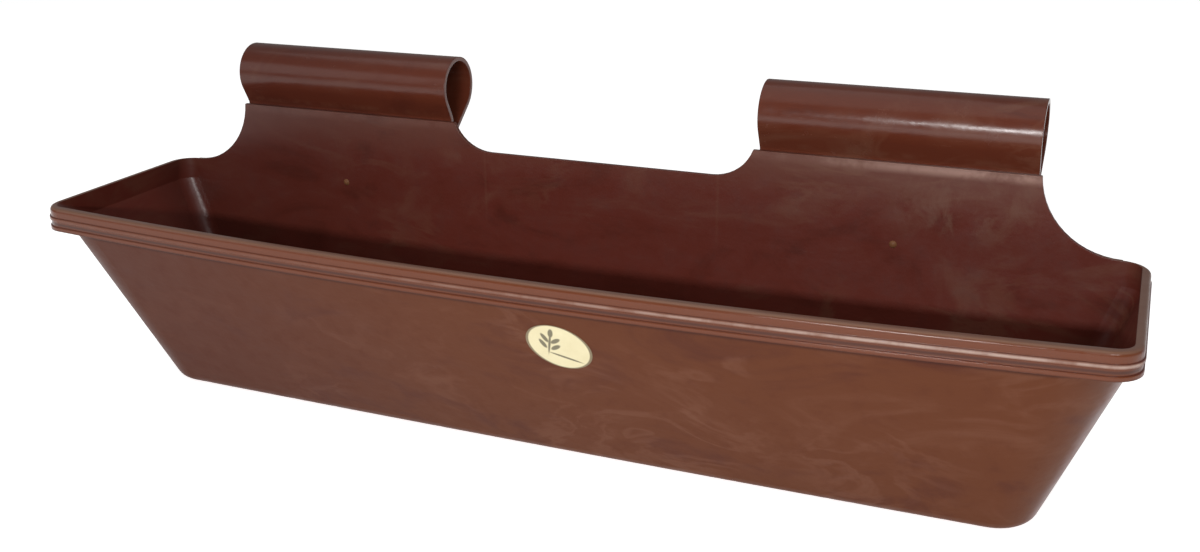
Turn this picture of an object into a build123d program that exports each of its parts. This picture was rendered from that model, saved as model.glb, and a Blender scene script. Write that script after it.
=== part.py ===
from build123d import *
import math
import os

os.makedirs("parts", exist_ok=True)

# Frame: Z up, front towards -Y. The origin is the centre of the underside of the base.

# Overall sizes
length = 1000.0
depth_at_ends = 215.0
rim_height = 200.0
wall = 4.0

# Rim band
rim_step = 3.0
rim_band = 22.0
rim_relief = 1.2
rim_ridge_level = 9.0
rim_ridge_height = 4.0
rim_inner_lip = 1.5
rim_bow = 26.0
rim_corner_radius = 26.0
opening_corner_radius = 14.0
rim_edge_radius = 4.0
ridge_edge_radius = 1.1

# Trough below the band
end_lean = 64.0
front_lean = 71.0
back_lean = 4.0
base_bow = 2.0
wall_corner_radius = 70.0
base_corner_radius = 36.0
back_corner_radius = 20.0
base_edge_radius = 16.0

# Hooks
hook_width = 243.5
hook_end_gap = 219.4
rail_radius = 25.4
rail_clearance = 0.1
hook_sheet = 4.0
curl_offset = 17.8
curl_rise = 30.0
curl_end_angle = -50.0
hook_leg = 30.0
bend_radius = 8.0
hook_tail_drop = 24.0

# Back wall and its flaps
mid_edge_rise = 39.0
crease_rise = 68.0
flap_clearance = 1.8
flap_margin = 2.5
inner_fillet_radius = 42.0
outer_fillet_radius = 71.0
flap_corner_radius = 10.0

# Rivets
rivet_offset = 4.4
rivet_drop = 8.0
rivet_radius = 2.0
rivet_clearance = 0.1
rivet_head_radius = 3.4
rivet_head_height = 1.6
rivet_tail_radius = 3.0
rivet_tail_height = 1.8

# Label
label_length = 59.0
label_height = 53.0
label_film = 0.3
label_x = 53.0
label_z = 139.0
label_turn = -16.0
label_reach = 12.0

# Derived sizes
half_length = length / 2
band_bottom = rim_height - rim_band
base_depth = depth_at_ends - 2 * rim_step - front_lean - back_lean
back_face = base_depth / 2 + back_lean
rim_front = back_face + rim_step - depth_at_ends
wall_half = half_length - rim_step
wall_front = rim_front + rim_step
base_half = wall_half - end_lean
base_front = wall_front + front_lean
curl_inner = rail_radius + rail_clearance
curl_outer = curl_inner + hook_sheet
curl_centre_y = back_face + curl_offset
hook_back = back_face + hook_sheet
back_inner = back_face - wall
mid_edge_height = rim_height + mid_edge_rise
crease_height = rim_height + crease_rise
curl_centre_z = crease_height + curl_rise
hook_tail_bottom = rim_height - hook_tail_drop
hook_centre_x = half_length - hook_end_gap
rivet_x = hook_centre_x + rivet_offset
rivet_z = rim_height - rivet_drop
hook_inner_x = hook_centre_x - hook_width / 2
hook_outer_x = hook_centre_x + hook_width / 2
flap_inner_x = hook_inner_x - flap_margin
flap_outer_x = hook_outer_x + flap_margin
flap_top_height = crease_height - flap_clearance
inner_foot_x = flap_inner_x - inner_fillet_radius
outer_foot_x = flap_outer_x + outer_fillet_radius
inner_centre_z = mid_edge_height + inner_fillet_radius
outer_centre_z = rim_height + outer_fillet_radius
inner_top_angle = math.asin((flap_top_height - inner_centre_z) / inner_fillet_radius)
outer_top_angle = math.pi - math.asin((flap_top_height - outer_centre_z) / outer_fillet_radius)


def outline(half, front, back, bow, front_radius, back_radius):
    with BuildSketch(Plane.XY) as shape:
        with BuildLine():
            ThreePointArc((-half, front), (0, front - bow), (half, front))
            Line((half, front), (half, back))
            Line((half, back), (-half, back))
            Line((-half, back), (-half, front))
        make_face()
        front_corners = shape.vertices().group_by(Axis.Y)[0]
        fillet(front_corners, front_radius)
        back_corners = shape.vertices().group_by(Axis.Y)[-1]
        fillet(back_corners, back_radius)
    return shape.sketch


def shell_loft(inset, base_level, base_radius):
    rise = base_level / band_bottom
    half = base_half + end_lean * rise - inset
    front = base_front - front_lean * rise + inset
    back = back_face - back_lean * (1 - rise) - inset
    bow = base_bow + (rim_bow - base_bow) * rise
    with BuildPart() as solid:
        with BuildSketch(Plane.XY.offset(base_level)):
            add(outline(half, front, back, bow, base_corner_radius - inset,
                        back_corner_radius - inset))
        with BuildSketch(Plane.XY.offset(band_bottom)):
            add(outline(wall_half - inset, wall_front + inset, back_face - inset, rim_bow,
                        wall_corner_radius - inset, back_corner_radius - inset))
        loft(ruled=True)
        if base_radius > 0:
            fillet(solid.edges().group_by(Axis.Z)[0], base_radius)
    return solid.part


def band_ring(bottom, height, inset, bottom_radius, top_radius):
    with BuildPart() as solid:
        with BuildSketch(Plane.XY.offset(bottom)):
            add(outline(half_length - inset, rim_front + inset, back_face + rim_step - inset,
                        rim_bow, rim_corner_radius - inset, rim_corner_radius - inset))
        extrude(amount=height)
        if bottom_radius > 0:
            fillet(solid.edges().group_by(Axis.Z)[0], bottom_radius)
        fillet(solid.edges().group_by(Axis.Z)[-1], top_radius)
    return solid.part


outer_shell = shell_loft(0.0, 0.0, base_edge_radius)
cavity = shell_loft(wall, wall, base_edge_radius - wall)
label_skin = shell_loft(-label_film, 0.0, 0.0)
label_core = shell_loft(0.0, 0.0, 0.0)

band = band_ring(band_bottom, rim_band, rim_relief, 0.0, rim_edge_radius)
band_lip = band_ring(band_bottom, rim_ridge_height, 0.0, 0.0, ridge_edge_radius)
band_ridge = band_ring(band_bottom + rim_ridge_level, rim_ridge_height, 0.0,
                       ridge_edge_radius, ridge_edge_radius)


def inner_fillet_point(angle):
    return (inner_foot_x + inner_fillet_radius * math.cos(angle),
            inner_centre_z + inner_fillet_radius * math.sin(angle))


def outer_fillet_point(angle):
    return (outer_foot_x + outer_fillet_radius * math.cos(angle),
            outer_centre_z + outer_fillet_radius * math.sin(angle))


with BuildPart() as trough_body:
    add(outer_shell)
    add(band)
    add(band_lip)
    add(band_ridge)
    with BuildSketch(Plane.XY.offset(band_bottom)):
        with Locations((0, back_face + rim_step)):
            Rectangle(2 * outer_foot_x, 2 * rim_step)
    extrude(amount=rim_band, mode=Mode.SUBTRACT)
    with BuildSketch(Plane.XZ.offset(-back_face)) as back_wall:
        with BuildLine():
            Line((0, band_bottom), (0, mid_edge_height))
            Line((0, mid_edge_height), (inner_foot_x, mid_edge_height))
            ThreePointArc(
                (inner_foot_x, mid_edge_height),
                inner_fillet_point((inner_top_angle - math.pi / 2) / 2),
                inner_fillet_point(inner_top_angle),
            )
            Line(inner_fillet_point(inner_top_angle), outer_fillet_point(outer_top_angle))
            ThreePointArc(
                outer_fillet_point(outer_top_angle),
                outer_fillet_point((outer_top_angle + math.pi * 1.5) / 2),
                (outer_foot_x, rim_height),
            )
            Line((outer_foot_x, rim_height), (outer_foot_x, band_bottom))
            Line((outer_foot_x, band_bottom), (0, band_bottom))
        make_face()
        fillet(back_wall.vertices().group_by(Axis.Z)[-1].sort_by(Axis.X)[-1], flap_corner_radius)
        mirror(about=Plane.YZ)
    extrude(amount=wall)
    add(cavity, mode=Mode.SUBTRACT)
    with BuildSketch(Plane.XY.offset(band_bottom)):
        add(outline(wall_half - wall, wall_front + wall, back_inner, rim_bow,
                    wall_corner_radius - wall, back_corner_radius - wall))
    with BuildSketch(Plane.XY.offset(rim_height)):
        add(outline(wall_half - wall - rim_inner_lip, wall_front + wall + rim_inner_lip,
                    back_inner, rim_bow, opening_corner_radius, opening_corner_radius))
    loft(ruled=True, mode=Mode.SUBTRACT)
    with BuildSketch(Plane.XZ.offset(-back_face)):
        with Locations((-rivet_x, rivet_z), (rivet_x, rivet_z)):
            Circle(rivet_radius + rivet_clearance)
    extrude(amount=wall, both=True, mode=Mode.SUBTRACT)


def curl_point(radius, degrees):
    angle = math.radians(degrees)
    return (curl_centre_y + radius * math.cos(angle), curl_centre_z + radius * math.sin(angle))


def leg_end(radius):
    start = curl_point(radius, curl_end_angle)
    angle = math.radians(curl_end_angle)
    return (start[0] + hook_leg * math.sin(angle), start[1] - hook_leg * math.cos(angle))


# The outer face runs straight from the crease and meets the curl at a tangent.
crease_reach = math.hypot(curl_offset, curl_rise)
tangent_share = math.degrees(math.acos(curl_outer / crease_reach))
curl_start_angle = 180 + math.degrees(math.atan2(curl_rise, curl_offset)) - tangent_share
inner_start = curl_point(curl_inner, curl_start_angle)
inner_bend_z = inner_start[1] + (hook_back - inner_start[0]) / math.tan(
    math.radians(180 - curl_start_angle))
curl_middle_angle = (curl_start_angle + curl_end_angle) / 2


def hook_profile():
    with BuildSketch(Plane.XY) as profile:
        with BuildLine():
            Line((back_face, hook_tail_bottom), (back_face, crease_height))
            Line((back_face, crease_height), curl_point(curl_outer, curl_start_angle))
            ThreePointArc(
                curl_point(curl_outer, curl_start_angle),
                curl_point(curl_outer, curl_middle_angle),
                curl_point(curl_outer, curl_end_angle),
            )
            Line(curl_point(curl_outer, curl_end_angle), leg_end(curl_outer))
            Line(leg_end(curl_outer), leg_end(curl_inner))
            Line(leg_end(curl_inner), curl_point(curl_inner, curl_end_angle))
            ThreePointArc(
                curl_point(curl_inner, curl_end_angle),
                curl_point(curl_inner, curl_middle_angle),
                inner_start,
            )
            Line(inner_start, (hook_back, inner_bend_z))
            Line((hook_back, inner_bend_z), (hook_back, hook_tail_bottom))
            Line((hook_back, hook_tail_bottom), (back_face, hook_tail_bottom))
        make_face()
        outer_bend = profile.vertices().sort_by_distance(Vertex(back_face, crease_height, 0))[0]
        fillet(outer_bend, bend_radius)
        inner_bend = profile.vertices().sort_by_distance(Vertex(hook_back, inner_bend_z, 0))[0]
        fillet(inner_bend, bend_radius + hook_sheet)
    return profile.sketch


def hook(inner_end):
    with BuildPart() as sheet:
        with BuildSketch(Plane.YZ.offset(inner_end)):
            add(hook_profile())
        extrude(amount=hook_width)
        with BuildSketch(Plane.XZ.offset(-back_face)):
            with Locations((-rivet_x, rivet_z), (rivet_x, rivet_z)):
                Circle(rivet_radius + rivet_clearance)
        extrude(amount=-hook_sheet, mode=Mode.SUBTRACT)
    return sheet.part


with BuildPart() as left_hook:
    add(hook(-hook_outer_x))

with BuildPart() as right_hook:
    add(hook(hook_inner_x))


dome_radius = (rivet_head_radius**2 + rivet_head_height**2) / (2 * rivet_head_height)
dome_angle = math.asin(rivet_head_radius / dome_radius) / 2
head_front = back_inner - rivet_head_height
tail_back = hook_back + rivet_tail_height


def rivet(x):
    with BuildPart() as body:
        with BuildSketch(Plane.XY.offset(rivet_z)):
            with BuildLine():
                Line((x, head_front), (x, tail_back))
                Line((x, tail_back), (x + rivet_tail_radius, tail_back))
                Line((x + rivet_tail_radius, tail_back), (x + rivet_tail_radius, hook_back))
                Line((x + rivet_tail_radius, hook_back), (x + rivet_radius, hook_back))
                Line((x + rivet_radius, hook_back), (x + rivet_radius, back_inner))
                Line((x + rivet_radius, back_inner), (x + rivet_head_radius, back_inner))
                ThreePointArc(
                    (x + rivet_head_radius, back_inner),
                    (x + dome_radius * math.sin(dome_angle),
                     head_front + dome_radius * (1 - math.cos(dome_angle))),
                    (x, head_front),
                )
            make_face()
        revolve(axis=Axis((x, 0, rivet_z), (0, 1, 0)))
    return body.part


with BuildPart() as left_rivet:
    add(rivet(-rivet_x))

with BuildPart() as right_rivet:
    add(rivet(rivet_x))

label_share = label_z / band_bottom
label_bow = base_bow + (rim_bow - base_bow) * label_share
label_half = base_half + end_lean * label_share
label_y = base_front - front_lean * label_share - label_bow * (1 - (label_x / label_half) ** 2)
label_plane = Plane(
    origin=(label_x, label_y, label_z),
    x_dir=(1, 0, 0),
    z_dir=(0, -band_bottom, -front_lean),
)

with BuildPart() as label:
    with BuildSketch(label_plane):
        Ellipse(label_length / 2, label_height / 2, rotation=label_turn)
    extrude(amount=label_reach, both=True)
    add(label_skin, mode=Mode.INTERSECT)
    add(label_core, mode=Mode.SUBTRACT)

trough_body.part.label = "trough body"
left_hook.part.label = "left hook"
right_hook.part.label = "right hook"
left_rivet.part.label = "left rivet"
right_rivet.part.label = "right rivet"
label.part.label = "label"

export_step(trough_body.part, "parts/trough_body.step")
export_step(left_hook.part, "parts/left_hook.step")
export_step(right_hook.part, "parts/right_hook.step")
export_step(left_rivet.part, "parts/left_rivet.step")
export_step(right_rivet.part, "parts/right_rivet.step")
export_step(label.part, "parts/label.step")
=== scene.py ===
import math

import bpy
from mathutils import Matrix, Vector

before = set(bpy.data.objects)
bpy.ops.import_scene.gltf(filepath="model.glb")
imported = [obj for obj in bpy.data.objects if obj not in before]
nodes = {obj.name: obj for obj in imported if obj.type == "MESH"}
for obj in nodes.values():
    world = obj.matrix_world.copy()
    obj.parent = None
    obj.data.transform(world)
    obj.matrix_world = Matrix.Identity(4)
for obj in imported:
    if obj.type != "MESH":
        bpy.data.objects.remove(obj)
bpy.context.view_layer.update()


class Graph:
    """A material's node tree with short ways to add and join nodes."""

    def __init__(self, name):
        self.material = bpy.data.materials.new(name)
        self.material.use_nodes = True
        self.tree = self.material.node_tree
        self.shader = self.tree.nodes["Principled BSDF"]

    def node(self, kind, **settings):
        n = self.tree.nodes.new(kind)
        for key, value in settings.items():
            setattr(n, key, value)
        return n

    def put(self, socket, value):
        if hasattr(value, "is_output"):
            self.tree.links.new(value, socket)
        else:
            socket.default_value = value

    def math(self, operation, a, b=0.0, clamp=False):
        n = self.node("ShaderNodeMath", operation=operation, use_clamp=clamp)
        self.put(n.inputs[0], a)
        self.put(n.inputs[1], b)
        return n.outputs[0]

    def mix(self, amount, a, b):
        n = self.node("ShaderNodeMix", data_type="RGBA")
        self.put(n.inputs[0], amount)
        self.put(n.inputs[6], a)
        self.put(n.inputs[7], b)
        return n.outputs[2]

    def place(self, scale=(1, 1, 1), turn=(0, 0, 0), move=(0, 0, 0)):
        c = self.node("ShaderNodeTexCoord")
        m = self.node("ShaderNodeMapping")
        self.tree.links.new(c.outputs["Object"], m.inputs["Vector"])
        m.inputs["Scale"].default_value = scale
        m.inputs["Rotation"].default_value = turn
        m.inputs["Location"].default_value = move
        return m.outputs[0]

    def axes(self):
        c = self.node("ShaderNodeTexCoord")
        s = self.node("ShaderNodeSeparateXYZ")
        self.tree.links.new(c.outputs["Object"], s.inputs[0])
        return s.outputs[0], s.outputs[1], s.outputs[2]

    def facing(self):
        g = self.node("ShaderNodeNewGeometry")
        s = self.node("ShaderNodeSeparateXYZ")
        self.tree.links.new(g.outputs["Normal"], s.inputs[0])
        return s.outputs[0], s.outputs[1], s.outputs[2]

    def noise(self, vector, scale, detail=4.0, rough=0.5, bend=0.0):
        n = self.node("ShaderNodeTexNoise")
        self.put(n.inputs["Vector"], vector)
        n.inputs["Scale"].default_value = scale
        n.inputs["Detail"].default_value = detail
        n.inputs["Roughness"].default_value = rough
        n.inputs["Distortion"].default_value = bend
        return n.outputs[0]

    def span(self, value, low, high, out_low=0.0, out_high=1.0, soft=True):
        n = self.node("ShaderNodeMapRange")
        if soft:
            n.interpolation_type = "SMOOTHSTEP"
        self.put(n.inputs[0], value)
        n.inputs[1].default_value = low
        n.inputs[2].default_value = high
        n.inputs[3].default_value = out_low
        n.inputs[4].default_value = out_high
        return n.outputs[0]

    def ridge(self, value, centre, width):
        """1 where value is at the centre, falling to 0 at the width on both sides."""
        away = self.math("ABSOLUTE", self.math("SUBTRACT", value, centre))
        return self.span(away, width, 0.0)


# Levels and places on the part, in metres
BAND_BOTTOM = 0.178
GROOVE_LEVELS = ((0.1845, 0.0024), (0.1765, 0.0035))
RIDGE_LEVEL = 0.1892
RIM_TOP = 0.1995
STRAIN_LEVEL = 0.2630
BEND_LEVEL = 0.2730
FRONT_LEAN = 0.071
LABEL_X, LABEL_Z = 0.053, 0.139
LABEL_HALF_LENGTH, LABEL_HALF_HEIGHT = 0.0295, 0.0265
LABEL_TURN = math.radians(-16.0)


def plastic(name, hook=False):
    g = Graph(name)
    x, y, z = g.axes()
    nx, ny, nz = g.facing()

    # Broad clouds and soft swirls left in the plastic where it filled the mould.
    clouds = g.noise(g.place(scale=(2.2, 2.2, 5.0), turn=(0, 0.5, 0)), 3.2, 6.0, 0.6, 1.2)
    flow = g.noise(g.place(scale=(1.0, 1.0, 2.2), turn=(0.2, 0.7, 0)), 8.0, 4.0, 0.55, 1.6)
    swirls = g.math("MULTIPLY", g.ridge(flow, 0.5, 0.07), g.span(g.noise(g.place(), 9.0, 3.0), 0.46, 0.66))
    mottle = g.noise(g.place(), 55.0, 5.0, 0.65)

    deep = (0.052, 0.011, 0.007, 1)
    red = (0.104, 0.019, 0.012, 1)
    brown = (0.092, 0.027, 0.010, 1)
    pale = (0.145, 0.060, 0.036, 1)

    outside = g.math("MULTIPLY", g.span(ny, -0.2, -0.6), g.span(y, 0.03, 0.0))
    upper = g.span(z, 0.215, 0.262)
    colour = g.mix(g.math("MAXIMUM", outside, g.math("MULTIPLY", upper, 0.45)), red, brown)
    colour = g.mix(g.span(clouds, 0.52, 0.72, 0.0, 0.35), colour, pale)
    colour = g.mix(g.span(clouds, 0.48, 0.30, 0.0, 0.5), colour, deep)
    colour = g.mix(g.math("MULTIPLY", swirls, 0.34), colour, pale)
    colour = g.mix(g.span(mottle, 0.5, 0.8, 0.0, 0.22), colour, deep)

    # Painted shade: the left end of the front wall is darker, where it turns away from the light.
    left = g.math("MULTIPLY", outside, g.span(x, 0.05, -0.42, 0.0, 0.6))
    colour = g.mix(left, colour, deep)

    # Painted shade: the back of the trough is darker towards the left end.
    painted_shade_back_left = g.math("MULTIPLY", g.span(x, -0.10, -0.42, 0.0, 0.5), g.span(y, 0.0, 0.05))
    colour = g.mix(painted_shade_back_left, colour, deep)

    scuffs = g.noise(g.place(scale=(1.0, 1.0, 9.0), turn=(0, 0.15, 0)), 46.0, 4.0, 0.7, 0.4)
    worn = g.span(scuffs, 0.62, 0.74)
    colour = g.mix(g.math("MULTIPLY", worn, 0.12), colour, pale)

    if hook:
        # Faint pale marks where the sheet is bent forward.
        bend = g.math("MULTIPLY", g.ridge(z, BEND_LEVEL, 0.0045), g.span(ny, -0.1, -0.5))
        patchy = g.span(g.noise(g.place(), 32.0, 4.0, 0.7), 0.42, 0.62)
        colour = g.mix(g.math("MULTIPLY", g.math("MULTIPLY", bend, patchy), 0.25), colour, pale)
    else:
        # Pale strain band on the flaps, just under the hooks, stronger on the right.
        band = g.math("MULTIPLY", g.ridge(z, STRAIN_LEVEL, 0.0075), g.span(y, 0.06, 0.066))
        patchy = g.span(g.noise(g.place(), 26.0, 4.0, 0.7), 0.36, 0.60, 0.35, 1.0)
        strain = g.math("MULTIPLY", band, patchy)
        side = g.span(x, 0.12, 0.36, 0.10, 0.95)
        colour = g.mix(g.math("MULTIPLY", strain, side), colour, (0.30, 0.17, 0.135, 1))
        # A chalky patch on the right flap.
        chalk = g.math("MULTIPLY", g.ridge(x, 0.345, 0.10), g.ridge(z, 0.228, 0.045))
        flecks = g.span(g.noise(g.place(scale=(1, 1, 0.7)), 38.0, 6.0, 0.7, 0.6), 0.44, 0.64)
        chalk = g.math("MULTIPLY", g.math("MULTIPLY", chalk, flecks), g.span(y, 0.058, 0.064))
        colour = g.mix(g.math("MULTIPLY", chalk, 0.6), colour, (0.150, 0.072, 0.048, 1))
        # Faint upright lines in the back wall, below the foot of each inner curve.
        steps = g.ridge(g.math("ABSOLUTE", x), 0.121, 0.0022)
        on_back = g.math("MULTIPLY", g.span(y, 0.058, 0.064), g.span(z, 0.16, 0.20))
        colour = g.mix(g.math("MULTIPLY", g.math("MULTIPLY", steps, on_back), 0.18), colour, pale)
        # The rim is redder, with a painted highlight on its top edge and ridge and painted shade in the two
        # grooves of its face.
        face = g.math("MULTIPLY", g.span(z, 0.177, 0.179), outside)
        colour = g.mix(g.math("MULTIPLY", face, 0.8), colour, (0.122, 0.031, 0.011, 1))
        # Painted highlight: a pale, streaky line along the rim's ridge, stronger to the right where the light
        # falls.
        painted_ridge_highlight = g.math("MULTIPLY", g.ridge(z, RIDGE_LEVEL, 0.0022), outside)
        streak = g.span(g.noise(g.place(scale=(1, 1, 0.2)), 30.0, 4.0, 0.6), 0.35, 0.6, 0.3, 1.0)
        painted_ridge_highlight = g.math("MULTIPLY", g.math("MULTIPLY", painted_ridge_highlight, streak), g.span(x, -0.25, 0.42, 0.05, 0.75))
        colour = g.mix(painted_ridge_highlight, colour, (0.42, 0.31, 0.26, 1))
        # Painted highlight on the top-facing rounding of the rim.
        painted_rim_top_highlight = g.math("MULTIPLY", g.span(nz, 0.35, 0.75), g.ridge(z, RIM_TOP, 0.0050))
        colour = g.mix(g.math("MULTIPLY", painted_rim_top_highlight, 0.6), colour, (0.20, 0.115, 0.078, 1))
        # Painted shade: near-black in the two grooves, where the rim's own shape shades them.
        grooves = g.math("MAXIMUM", *[g.ridge(z, level, width) for level, width in GROOVE_LEVELS])
        grooves = g.math("MULTIPLY", grooves, g.span(g.math("ABSOLUTE", nz), 0.7, 0.4))
        painted_groove_shade = g.math("MULTIPLY", g.math("MULTIPLY", grooves, outside), 0.7)
        colour = g.mix(painted_groove_shade, colour, (0.03, 0.008, 0.006, 1))

    g.put(g.shader.inputs["Base Color"], colour)

    rough = g.span(clouds, 0.25, 0.75, 0.36, 0.46)
    rough = g.math("ADD", rough, g.span(mottle, 0.3, 0.8, -0.03, 0.07))
    rough = g.math("ADD", rough, g.math("MULTIPLY", worn, 0.08))
    if hook:
        rough = g.math("ADD", rough, -0.20)
        g.shader.inputs["Specular IOR Level"].default_value = 0.34
    else:
        rim = g.math("MULTIPLY", g.span(z, 0.175, 0.180), outside)
        inner = g.math("MULTIPLY", g.math("SUBTRACT", 1.0, outside), 0.06)
        rough = g.math("SUBTRACT", rough, g.math("MAXIMUM", g.math("MULTIPLY", rim, 0.22), inner))
        wall_gloss = g.span(outside, 0.0, 1.0, 0.40, 0.07, soft=False)
        gloss = g.math("MAXIMUM", wall_gloss, g.math("MULTIPLY", rim, 0.30))
        g.put(g.shader.inputs["Specular IOR Level"], gloss)
    g.put(g.shader.inputs["Roughness"], rough)

    height = g.math("ADD", g.noise(g.place(scale=(1, 1, 1.6)), 16.0, 4.0, 0.6),
                    g.math("MULTIPLY", g.noise(g.place(), 210.0, 2.0, 0.5), 0.12))
    soft = g.node("ShaderNodeBevel", samples=6)
    soft.inputs["Radius"].default_value = 0.0012
    bump = g.node("ShaderNodeBump")
    bump.inputs["Strength"].default_value = 0.30
    bump.inputs["Distance"].default_value = 0.0016
    g.put(bump.inputs["Height"], height)
    g.put(bump.inputs["Normal"], soft.outputs[0])
    g.put(g.shader.inputs["Normal"], bump.outputs[0])
    return g.material


def rivet_metal():
    g = Graph("rivet metal")
    spots = g.noise(g.place(), 900.0, 3.0)
    g.put(g.shader.inputs["Base Color"], g.mix(spots, (0.20, 0.085, 0.035, 1), (0.11, 0.045, 0.02, 1)))
    g.shader.inputs["Metallic"].default_value = 0.0
    g.shader.inputs["Specular IOR Level"].default_value = 0.15
    g.put(g.shader.inputs["Roughness"], g.span(spots, 0.2, 0.8, 0.35, 0.55))
    return g.material


def label_film():
    g = Graph("label film")
    x, y, z = g.axes()
    lean = math.atan2(FRONT_LEAN, BAND_BOTTOM)
    turn = LABEL_TURN
    across = g.math("SUBTRACT", x, LABEL_X)
    up = g.math("MULTIPLY", g.math("SUBTRACT", z, LABEL_Z), 1 / math.cos(lean))
    u = g.math("ADD", g.math("MULTIPLY", across, math.cos(turn) / LABEL_HALF_LENGTH),
               g.math("MULTIPLY", up, math.sin(turn) / LABEL_HALF_LENGTH))
    v = g.math("ADD", g.math("MULTIPLY", across, -math.sin(turn) / LABEL_HALF_HEIGHT),
               g.math("MULTIPLY", up, math.cos(turn) / LABEL_HALF_HEIGHT))

    def oval(cx, cy, rx, ry, degrees=0.0, edge=0.12):
        a = math.radians(degrees)
        du = g.math("SUBTRACT", u, cx)
        dv = g.math("SUBTRACT", v, cy)
        p = g.math("ADD", g.math("MULTIPLY", du, math.cos(a) / rx), g.math("MULTIPLY", dv, math.sin(a) / rx))
        q = g.math("ADD", g.math("MULTIPLY", du, -math.sin(a) / ry), g.math("MULTIPLY", dv, math.cos(a) / ry))
        d = g.math("SQRT", g.math("ADD", g.math("MULTIPLY", p, p), g.math("MULTIPLY", q, q)))
        return g.span(d, 1.0 + edge, 1.0 - edge)

    tone = g.noise(g.place(), 60.0, 4.0, 0.6)
    cream = g.mix(tone, (0.66, 0.60, 0.38, 1), (0.54, 0.47, 0.27, 1))
    ink = (0.055, 0.045, 0.02, 1)
    # A plain sprig of leaves over a ground line.
    marks = oval(-0.28, 0.05, 0.035, 0.52, 0, 0.3)
    for cx, cy, degrees in ((-0.44, 0.22, 35), (-0.12, 0.22, -35), (-0.47, -0.08, 35), (-0.09, -0.08, -35),
                            (-0.28, 0.52, 0)):
        marks = g.math("MAXIMUM", marks, oval(cx, cy, 0.075, 0.20, degrees, 0.2))
    marks = g.math("MAXIMUM", marks, oval(0.24, -0.40, 0.50, 0.045, 0, 0.25))
    from_centre = g.math("SQRT", g.math("ADD", g.math("MULTIPLY", u, u), g.math("MULTIPLY", v, v)))
    rim = g.span(from_centre, 0.90, 0.94)
    colour = g.mix(g.math("MULTIPLY", marks, 0.85), cream, ink)
    colour = g.mix(rim, colour, (0.16, 0.12, 0.06, 1))
    g.put(g.shader.inputs["Base Color"], colour)
    g.put(g.shader.inputs["Roughness"], g.span(tone, 0.2, 0.8, 0.38, 0.5))
    return g.material


def dress(node, material):
    mesh = nodes[node].data
    mesh.materials.clear()
    mesh.materials.append(material)


body_plastic = plastic("trough plastic")
hook_plastic = plastic("hook plastic", hook=True)
metal = rivet_metal()
dress("trough_body", body_plastic)
dress("left_hook", hook_plastic)
dress("right_hook", hook_plastic)
dress("left_rivet", metal)
dress("right_rivet", metal)
dress("label", label_film())

# Floor
bpy.ops.mesh.primitive_plane_add(size=24.0, location=(0, 0, -0.0002))
floor = bpy.context.object
floor.name = "floor"
paper = Graph("floor paper")
paper.shader.inputs["Base Color"].default_value = (0.93, 0.93, 0.93, 1)
paper.shader.inputs["Roughness"].default_value = 0.9
paper.shader.inputs["Specular IOR Level"].default_value = 0.1
paper.shader.inputs["Emission Color"].default_value = (1, 1, 1, 1)
paper.shader.inputs["Emission Strength"].default_value = 0.72
floor.data.materials.append(paper.material)

# World: plain white to the camera, softer as a light
world = bpy.data.worlds.new("studio")
bpy.context.scene.world = world
world.use_nodes = True
wt = world.node_tree
wt.nodes.clear()
out = wt.nodes.new("ShaderNodeOutputWorld")
see = wt.nodes.new("ShaderNodeBackground")
see.inputs[0].default_value = (1, 1, 1, 1)
see.inputs[1].default_value = 1.0
lit = wt.nodes.new("ShaderNodeBackground")
lit.inputs[0].default_value = (1.0, 1.0, 1.0, 1)
lit.inputs[1].default_value = 0.26
path = wt.nodes.new("ShaderNodeLightPath")
blend = wt.nodes.new("ShaderNodeMixShader")
wt.links.new(path.outputs["Is Camera Ray"], blend.inputs[0])
wt.links.new(lit.outputs[0], blend.inputs[1])
wt.links.new(see.outputs[0], blend.inputs[2])
wt.links.new(blend.outputs[0], out.inputs[0])


def area(name, place, aim, size_x, size_y, watts, colour=(1, 1, 1)):
    data = bpy.data.lights.new(name, "AREA")
    data.shape = "RECTANGLE"
    data.size = size_x
    data.size_y = size_y
    data.energy = watts
    data.color = colour
    lamp = bpy.data.objects.new(name, data)
    bpy.context.scene.collection.objects.link(lamp)
    lamp.location = place
    lamp.rotation_euler = (Vector(aim) - Vector(place)).to_track_quat("-Z", "Y").to_euler()
    return lamp


area("key", (1.3, -1.7, 1.5), (0.1, 0, 0.15), 0.9, 0.5, 12)
area("strip", (0.30, -2.0, 0.76), (0.25, 0, 0.25), 0.5, 0.08, 20)
area("top", (-0.3, -0.2, 2.4), (0, 0, 0.1), 2.6, 2.0, 11)
area("fill", (-2.0, -1.6, 1.2), (0, 0, 0.15), 1.6, 1.2, 6)

# Camera
yaw, pitch, roll = 0.39824, 0.34239, -0.00783
forward = Vector((-math.sin(yaw) * math.cos(pitch), math.cos(yaw) * math.cos(pitch), -math.sin(pitch)))
level = Vector((math.cos(yaw), math.sin(yaw), 0))
upright = level.cross(forward)
right = math.cos(roll) * level + math.sin(roll) * upright
up = -math.sin(roll) * level + math.cos(roll) * upright
camera_data = bpy.data.cameras.new("camera")
camera_data.sensor_width = 36.0
camera_data.lens = 39.636
camera_data.clip_end = 60.0
camera = bpy.data.objects.new("camera", camera_data)
bpy.context.scene.collection.objects.link(camera)
camera.matrix_world = Matrix.Translation((0.47741, -1.06277, 0.56203)) @ Matrix(
    (right, up, -forward)
).transposed().to_4x4()
bpy.context.scene.camera = camera
bpy.context.scene.view_settings.view_transform = "Standard"
